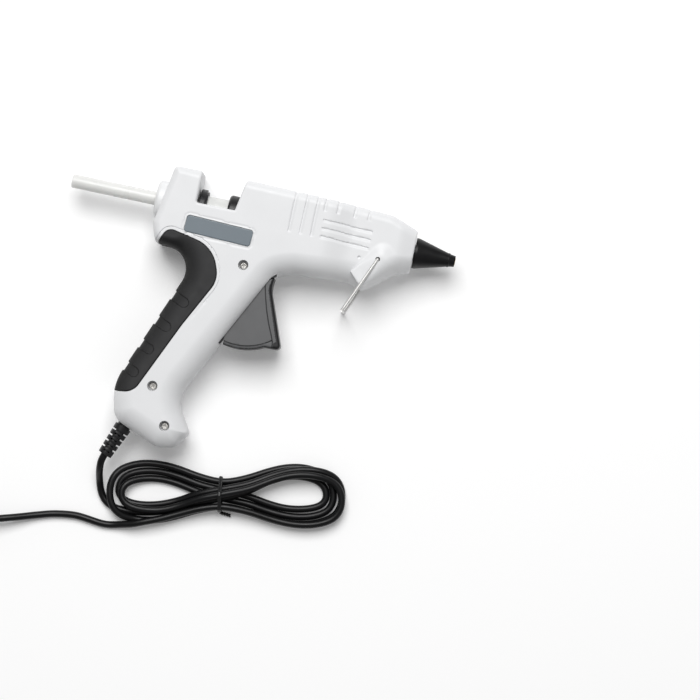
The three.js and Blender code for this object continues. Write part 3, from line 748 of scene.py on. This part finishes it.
def plug_form(x, y, z):
    """Flat two-pin plug with grooves in its sides, a moulding seam and a ringed neck for the cord."""
    half = PLUG["half"] - 0.8 * smooth(x, -30, -16)
    form = round_both(PLUG_OUTLINE.distance(x, y), np.abs(z) - half, 2.4)
    across = np.hypot(y, z)
    neck = round_both(across - (4.3 - 0.08 * (x + PLUG_NECK)), np.abs(x + 7.6) - 7.4, 0.8)
    for i in range(4):
        ring = both(np.abs(x + 3 + 2.6 * i) - 0.5, 3.5 - across + 0.02 * i)
        neck = round_cut(neck, ring, 0.2)
    form = round_either(form, neck, 1.2)
    for i in range(3):
        side = np.abs(y) - PLUG_SIDE + 0.55
        groove = both(np.abs(x - PLUG_FACE - 5 - 2.4 * i) - 0.55, -side)
        form = round_cut(form, groove, 0.2)
    seam = both(np.abs(z) - 0.12, -(form + 0.15))
    return cut(form, seam, across - CORD_RADIUS * (x > -3))


def add_plug():
    place = HANK_PLACE @ moved(PLUG_PLACE["x"], PLUG_PLACE["y"], PLUG["half"], PLUG_PLACE["angle"])
    low, high = (PLUG_FACE - 0.3, -13.2, -6.8), (0.4, 13.2, 6.8)
    pieces = [finished(moulded("mains_plug", plug_form, low, high, BLACK, 0.4, place),
                       "housing", "black_plastic", "plug_body")]
    bare = 9.5  # length of a pin's metal end; the rest of it is sleeved
    tip = PLUG_FACE - PLUG["pin"]
    inward = np.array(place.to_3x3() @ Vector((1, 0, 0)))
    root = placed([(tip + bare, 0, 0)], place)[0]
    for i, side in enumerate((-1, 1)):
        rows = [(tip, 0), (tip, 1.2), (tip + 1.4, 2), (tip + bare, 2), (tip + bare, 1.85),
                (PLUG_FACE - GAP, 1.85), (PLUG_FACE - GAP, 0)]
        axis = place @ moved(0, side * PLUG["pitch"] / 2)
        pin = turned(f"mains_plug_pin_{i + 1}", rows, STEEL, 40, 0.3, axis)
        pin.data.materials.append(BLACK)
        for face in pin.data.polygons:
            face.material_index = int((np.array(face.center) - root) @ inward > -1e-5)
        pieces.append(finished(pin, "housing", "steel", f"plug_pin_{i + 1}"))
    return pieces


# ---- housing ----
BODY_FRONT = -23.5
BODY = Outline([
    (-14, 8.1, 0), (-14, -9.5, 0), (-31, -14, 9), (-47.9, -26.7, 0), (-56, -23.6, 0), (-86.5, -25.8, 14),
    (-96, -29, 9), (-135.1, -106.5, 16), (-124.3, -124, 3), (-130.5, -133.2, 8), (-140.5, -135.2, 12),
    (-166.6, -124.2, 10.5), (-171, -106, 30), (-138.9, -25.4, 13), (-164.6, -24.2, 1.8),
    (-167.7, -14, 8), (-161.9, 19.2, 2.6), (-121, 19.6, 0), (-70, 18.8, 0), (-38.5, 17.2, 10.5),
])
GRIP = Outline([
    (-180, -110.8, 0), (-158.5, -107.6, 9), (-140, -66, 60), (-125.8, -38, 14), (-132, -20.8, 18),
    (-158.5, -15.4, 5), (-162.5, -24, 3), (-162.5, -34, 0), (-180, -34, 0),
])
NOTCH = Outline([
    (-146.4, 40, 0), (-146.4, 1.5, 1.2), (-124.7, 1.5, 0.6), (-121.4, 20, 0), (-121.4, 40, 0),
])
BADGE = Outline([(-149.4, -6.2, 1.5), (-112.2, -7.5, 1.5), (-112.7, -16.4, 1.5), (-149.9, -15.3, 1.5)])
STAND_BOSS = Outline([
    (-33, -8, 4), (-41, -1.5, 4), (-50.8, -12.1, 0.5), (-55.5, -18.1, 0.5), (-48, -26, 3),
])
TRIGGER_SLOT = Outline([
    (-95, -21, 0), (-95, -30, 0), (-124, -90, 0), (-127, -76, 0), (-103, -29.5, 0), (-98, -21, 0),
])
# Grooves of the barrel, across it and along it: a line from end to end, and the half width.
VENTS = [((x, 40), (x - 0.6, -4), 1.25) for x in (-92.2, -85.9, -79.7)]
VENTS += [((x, 40), (x - 0.4, 11), 1.2) for x in (-75.3, -68.1, -58.6, -50.6)]
VENTS += [((-47.8, 5.1 - 4.6 * i), (-76, 6.1 - 4.6 * i), 1.05) for i in range(3)]
VENT_DEPTH = 0.6


def vent_depth(x, y, start, end, half):
    """Depth of a groove with a steep wall on one side, which rises gently to the other."""
    along = Vector(end) - Vector(start)
    length = along.length
    along /= length
    step = (x - start[0]) * along.x + (y - start[1]) * along.y
    across = (y - start[1]) * along.x - (x - start[0]) * along.y
    ends = smooth(step, 0, 0.6) * smooth(length - step, 0, 0.6)
    return VENT_DEPTH * ends * smooth(across, -half, 0.25 - half) * (1 - smooth(across, 0.5 - half, half))


def body(x, y, z):
    """Outside of the two halves together: broad rounding below and on the handle, tighter on top."""
    profile = BODY.distance(x, y)
    half = HALF_WIDTH - (HALF_WIDTH - NOSE_HALF) * smooth(x, -74, -57) - 2.5 * smooth(x, -34, -20)
    edge = 5 + 7 * smooth(-y, -8, 10)
    edge = edge - (edge - 4.5) * smooth(-x, 146, 156) * smooth(y, -30, -18)
    form = round_both(profile, np.abs(z) - half, edge)
    boss_half = STAND["out"] - STAND["wire"] - GAP
    ease = 5 * smooth(x, -53, -40)
    boss = round_both(STAND_BOSS.distance(x, y), np.abs(z) - boss_half, 0.5 + 0.7 * ease)
    return round_both(round_either(form, boss, 0.4 + ease), x - BODY_FRONT, 0.9)


def barrel_bore(x, y, z, start, end, radius):
    """Cylinder on the barrel axis."""
    return both(start - x, x - end, np.hypot(y, z) - radius)


def posts(x, y, depth):
    """Screw posts, the two pivot posts, and the spring stop and chamber cradles across the inside."""
    form = both(np.hypot(x - PIVOT[0], y - PIVOT[1]) - 3.5, TRIGGER_HALF + 0.8 - depth)
    for sx, sy in SCREWS:
        form = either(form, np.hypot(x - sx, y - sy) - 4)
    spring_stop = (-84, -82, -23, -11)
    cradles = [(-78.5, -76.5, -23, 17), (-34.5, -32.5, -14, 15)]
    for start, end, bottom, top in (spring_stop, *cradles):
        form = either(form, both(start - x, x - end, bottom - y, y - top))
    return form


def barrel_openings(x, y, z, outside):
    """Notch floor, bores along the barrel, room for the heater and its leads, and the stand's holes."""
    depth = np.abs(z)
    return [
        block(x, y, z, (-146.4, -2, -11.2), (-118, 1.6, 11.2)),
        barrel_bore(x, y, z, -128, -118, 11.2),
        barrel_bore(x, y, z, -150, -145, 5),
        barrel_bore(x, y, z, -172, -158, 8),
        barrel_bore(x, y, z, -80, -74, 9.3),
        barrel_bore(x, y, z, -37, -20, 8.9),
        both(block(x, y, z, (-80, -16.5, -7.6), (-36.5, -4, 7.6)), outside + 1.2),
        both(np.abs(x + 80) - 6, np.abs(y + 14) - 2, np.abs(depth - 10.5) - 3.1),
        both(np.hypot(x - STAND["x"], y - STAND["y"]) - 1.25, 9.5 - depth),
    ]


def handle_openings(x, y, z, outside, grip):
    """Trigger slot and pin bore, the grip's recess, the cord's hole and the screws' holes."""
    depth = np.abs(z)
    pivot = np.hypot(x - PIVOT[0], y - PIVOT[1])
    angle = math.radians(RELIEF["angle"])
    along = (x - RELIEF["x"]) * math.cos(angle) + (y - RELIEF["y"]) * math.sin(angle)
    aside = (y - RELIEF["y"]) * math.cos(angle) - (x - RELIEF["x"]) * math.sin(angle)
    tools = [
        both(TRIGGER_SLOT.distance(x, y), depth - TRIGGER_HALF - 0.6, pivot - TRIGGER_RADIUS - 0.6),
        both(pivot - 1.8, depth - 13.8),
        both(grip - GAP, -(outside + GRIP_THICK + GAP)),
        both(np.hypot(aside, z) - 4.1, -0.6 - along, along - 12),
    ]
    for sx, sy in SCREWS:
        screw = np.hypot(x - sx, y - sy)
        tools += [both(screw - 1.6, -9 - z), both(screw - 2.85, HEAD_SEAT - z)]
    return tools


def left_side_marks(x, y, z):
    """Recess of the badge with a fine line round it, and the sunk dot beside the stand."""
    badge = BADGE.distance(x, y)
    return [
        both(badge - 0.3, HALF_WIDTH - 1.1 - z),
        both(np.abs(badge - 1.2) - 0.3, HALF_WIDTH - 0.45 - z),
        both(np.hypot(x + 52.4, y + 9.5) - 0.9, 13.4 - z),
    ]


def housing_half(side):
    """Moulded half: wall, screw posts and cradles, less the bores and openings."""
    def form(x, y, z):
        outside = body(x, y, z)
        grip, notch = GRIP.distance(x, y), NOTCH.distance(x, y)
        cavity = either(both(outside + WALL, GAP + WALL - grip), outside + WALL + GRIP_THICK + GAP)
        cavity = both(cavity, WALL - notch, x + 30)
        surface = outside + sum(vent_depth(x, y, *vent) for vent in VENTS)
        grip_line = both(np.abs(grip - 1.9) - 0.32, -(outside + 0.7 * smooth(y, -66, -44)))
        walls = cut(surface, grip_line, cavity)
        walls = either(walls, both(posts(x, y, np.abs(z)), outside + 0.8))
        walls = round_cut(walls, notch, 1.2)
        walls = cut(walls, *barrel_openings(x, y, z, outside), *handle_openings(x, y, z, outside, grip))
        walls = cut(walls, *left_side_marks(x, y, z))
        return both(walls, GAP / 2 - side * z)
    return form


def grip_half(side):
    """Soft moulding round the back of the handle, with four sunk bands that run in from its back."""
    bands = [((-141.5, -54), (-160, -46)), ((-148.3, -69), (-168, -60.5)),
             ((-155, -83), (-175, -74.5)), ((-160.5, -97), (-180, -88.5))]

    def form(x, y, z):
        outside = body(x, y, z)
        lift = 0.2
        for tip, end in bands:
            lift = lift - 0.75 * smooth(-bar(x, y, tip, end, 2.9), 0, 0.35)
        skin = round_both(GRIP.distance(x, y), outside - lift, 0.7)
        return both(skin, -(outside + GRIP_THICK), GAP / 2 - side * z)
    return form


def add_housing():
    for side, name in ((1, "left"), (-1, "right")):
        low, high = (-171, -137, 0), (-22, 21, 17.5)
        grip_low, grip_high = (-172, -113, 0), (-124, -13, 17.8)
        if side < 0:
            low, high = (*low[:2], -17.5), (*high[:2], 0)
            grip_low, grip_high = (*grip_low[:2], -17.8), (*grip_high[:2], 0)
        shell = moulded(f"{name}_shell", housing_half(side), low, high, SHELL)
        finished(shell, "housing", "shell_white", f"{name}_housing")
        grip = moulded(f"{name}_grip_skin", grip_half(side), grip_low, grip_high, RUBBER, CELL * 0.85)
        finished(grip, "housing", "grip_rubber", f"{name}_grip")


def add_badge():
    def form(x, y, z):
        return round_both(BADGE.distance(x, y), np.abs(z - HALF_WIDTH + 0.55) - 0.4, 0.2)
    low, high = (-151, -17.5, HALF_WIDTH - 1.1), (-111, -5, HALF_WIDTH + 0.1)
    finished(moulded("badge_plate", form, low, high, SLATE, 0.3), "housing", "badge_slate", "badge")


# ---- barrel ----
def add_barrel():
    rear = [(-169.7, 4.3), (-169.7, 8.4), (-169.2, 9.8), (-168.4, 10.5), (-167.9, 10.7), (-162.6, 10.4),
            (-162.6, 7.6), (-160, 7.6), (-160, 4.3)]
    finished(turned("rear_bush", rear, BUSH, radius=0.6), "housing", "bush_white", "rear_guide_bush")
    cone = [(-23.2, 5.7), (-23.2, 8.6), (-21.6, 8.5), (-4.2, 3.8), (-4, 4), (-3.4, 3.9), (-3.2, 3.55),
            (-0.15, 3), (-0.15, 2.3), (-13, 5.6)]
    cover = turned("nozzle_sleeve", cone, COVER, radius=0.25)
    finished(cover, "housing", "nozzle_silicone", "nozzle_cover")
    stick = [(STICK_END, 0), (STICK_END, STICK_RADIUS), (STICK_FRONT, STICK_RADIUS), (STICK_FRONT, 0)]
    finished(turned("loaded_stick", stick, GLUE, 64, 0.45), "stick", "glue", "glue_stick")


def add_carriage():
    sleeve = [(-144.9, 4.3), (-144.9, 7.4), (-123.4, 7.4), (-123.4, 4.3)]
    finished(turned("feed_sleeve", sleeve, MILKY), "carriage", "sleeve_milky", "carriage_sleeve")
    bore = 7.7
    rear = [(-145.6, bore), (-145.6, 10.5), (-142.2, 10.5), (-142.2, 9.4), (-141.2, 9.4), (-141.2, bore)]
    finished(turned("back_ring", rear, BLACK, radius=0.4), "carriage", "black_plastic", "rear_ring")
    front = [(-129.4, bore), (-129.4, 9.6), (-128.4, 10.5), (-124.4, 10.5), (-124.4, bore)]
    finished(turned("fore_ring", front, BLACK, radius=0.4), "carriage", "black_plastic", "front_ring")


def add_spring():
    back, front, height, radius, turns = -97.1, -84.9, -16.6, 2.8, 5.5
    steps = 150
    coil = []
    for k in range(steps + 1):
        t = k / steps
        angle = 2 * math.pi * turns * t
        rise, aside = radius * math.cos(angle), radius * math.sin(angle)
        coil.append((back + (front - back) * t, height + rise, aside))
    piece = swept("coil_spring", coil, round_section(0.5, 10, 0.01), STEEL)
    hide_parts("return_spring")
    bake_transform(piece)


# ---- trigger ----
RIM = [(*polar(PIVOT, TRIGGER_RADIUS, degrees), 0) for degrees in range(-62, -113, -5)]
LEVER_OUTLINE = Outline([
    (-95.5, -29.5, 0.8), (-96.3, -36.5, 14), (-84, -68.5, 2.2), *RIM, (-113.5, -44, 6), (-114.2, -36, 4),
    (-106, -34, 0),
])
FINGER_BAR = [(-100.6, -32.6), (-99.7, -36.5), (-98.2, -42.3), (-96.3, -48.6), (-93.8, -55.3),
              (-91.4, -60.6), (-89.6, -64.9), (-89.2, -68.6)]


def lever_form(x, y, z):
    """Trigger: a plate with grooves along its finger bar and its rim, a hub and the drive arm."""
    depth = np.abs(z)
    outline = LEVER_OUTLINE.distance(x, y)
    form = round_both(outline, depth - TRIGGER_HALF, 1.5)
    bar_line = np.full(outline.shape, 1e3)
    for start, end in zip(FINGER_BAR, FINGER_BAR[1:]):
        bar_line = either(bar_line, bar(x, y, start, end, 0))
    reach = np.hypot(x - PIVOT[0], y - PIVOT[1])
    rim_line = both(np.abs(reach - TRIGGER_RADIUS + 2), x + 90.4)
    groove = both(either(bar_line, rim_line) - 0.3, TRIGGER_HALF - 0.55 - depth)
    form = cut(form, groove)
    form = either(form, round_both(reach - 4.6, depth - TRIGGER_HALF, 0.3))
    lean = math.radians(ARM_LEAN)
    along = (x - PIVOT[0]) * math.sin(lean) + (y - PIVOT[1]) * math.cos(lean)
    aside = (x - PIVOT[0]) * math.cos(lean) - (y - PIVOT[1]) * math.sin(lean)
    arm = both(np.hypot(aside, along - np.clip(along, 0, ARM_LENGTH)) - 2.7, depth - 3.8)
    form = either(form, arm)
    return cut(form, reach - 1.8, np.hypot(aside, along - ARM_LENGTH) - 1.6)


def add_trigger():
    """Grey on its flat sides; black round the edges, in the grooves, on the front band and at the toe."""
    piece = moulded("trigger_lever", lever_form, (-116, -74, -9.2), (-83, -12, 9.2), LEVER, 0.42)
    piece.data.materials.append(BLACK)
    for face in piece.data.polygons:
        height = abs(face.center.z - ORIGIN.z) / MM
        x, y = (face.center.x - ORIGIN.x) / MM, (face.center.y - ORIGIN.y) / MM
        edge = bar(x, y, (-95.2, -31), (-96, -36.6), 1.9), bar(x, y, (-96, -36.6), (-84.8, -67), 1.9)
        toe = math.hypot(x + 87, y + 67) - 2.4
        side_face = abs(face.normal.z) > 0.72 and height > TRIGGER_HALF - 0.3
        face.material_index = int(not side_face or min(*edge, toe) < 0)
    finished(piece, "trigger", "trigger_grey", "trigger")


# ---- fasteners and stand ----
def screw_form(x, y, z):
    """Cross-recess screw along z, with a domed head on z = 0 and a threaded shank below."""
    across = np.hypot(x, y)
    head = round_both(across - 2.05 + 0.16 * z ** 2, np.abs(z - 0.8) - 0.8, 0.3)
    width = 0.34 + 0.1 * z
    slots = either(both(np.abs(x) - width, np.abs(y) - 1.25), both(np.abs(y) - width, np.abs(x) - 1.25))
    head = cut(head, both(slots, 0.75 - z + 0.45 * across))
    pitch = 1.2
    phase = (z / pitch + np.arctan2(y, x) / (2 * math.pi)) % 1
    thread = 1.1 + 0.3 * np.abs(2 * phase - 1)
    shank = both((across - thread) * 0.7, np.abs(z + 8.9) - 9.2)
    return either(head, shank)


def add_screws():
    for i, ((x, y), spin) in enumerate(zip(SCREWS, (20, 55, -12))):
        place = moved(x, y, HEAD_SEAT + GAP, spin)
        low, high = (-2.5, -2.5, -18.3), (2.5, 2.5, 1.8)
        piece = moulded(f"case_screw_{i + 1}", screw_form, low, high, NICKEL, 0.2, place)
        finished(piece, "housing", "nickel_screw", f"housing_screw_{i + 1}")


def add_stand():
    x, y, out = STAND["x"], STAND["y"], STAND["out"]
    foot = polar((x, y), STAND["leg"], STAND["angle"])
    corners = [(x, y, 10.2), (x, y, out), (*foot, out), (*foot, -out), (x, y, -out), (x, y, -10.2)]
    path = resample(rounded_path(corners, 1.9), 0.5)
    piece = swept("stand_wire", path, round_section(STAND["wire"], 16, 0.004), WIRE)
    finished(piece, "stand", "stand_wire", "wire_stand")


# ---- floor and light ----
def add_floor():
    half = 3
    mesh = bpy.data.meshes.new("floor")
    corners = [(-half, -half, 0), (half, -half, 0), (half, half, 0), (-half, half, 0)]
    mesh.from_pydata(corners, [], [(0, 1, 2, 3)])
    paper = bpy.data.materials.new("floor_paper")
    paper.use_nodes = True
    shader = paper.node_tree.nodes["Principled BSDF"]
    shader.inputs["Base Color"].default_value = (0.95, 0.95, 0.95, 1)
    shader.inputs["Roughness"].default_value = 0.9
    shader.inputs["Emission Color"].default_value = (1, 1, 1, 1)
    shader.inputs["Emission Strength"].default_value = 0.1
    mesh.materials.append(paper)
    floor = bpy.data.objects.new("floor", mesh)
    bpy.context.collection.objects.link(floor)


def add_light(name, offset, size, power):
    data = bpy.data.lights.new(name, "AREA")
    data.size = size
    data.energy = power
    lamp = bpy.data.objects.new(name, data)
    lamp.location = TARGET + offset
    lamp.rotation_euler = (-offset).to_track_quat("-Z", "Y").to_euler()
    bpy.context.collection.objects.link(lamp)


def add_lighting():
    add_light("key", UP * 1.1 + Vector((0, 0, 2)) - RIGHT * 0.1, 1.5, 49)
    add_light("fill", RIGHT * 0.9 - UP * 0.5 + Vector((0, 0, 1.2)), 1.2, 0.6)
    world = bpy.data.worlds.new("studio")
    world.use_nodes = True
    world.node_tree.nodes["Background"].inputs["Color"].default_value = (1, 1, 1, 1)
    world.node_tree.nodes["Background"].inputs["Strength"].default_value = 0.24
    bpy.context.scene.world = world
    bpy.context.scene.view_settings.view_transform = "Standard"


add_camera()
CORD_PIECE, CORD_POINTS = add_cord()
ON_CORD = add_tie() + [add_relief()] + add_plug()
add_housing()
add_badge()
add_barrel()
add_carriage()
add_spring()
add_trigger()
add_screws()
add_stand()
add_floor()
add_lighting()
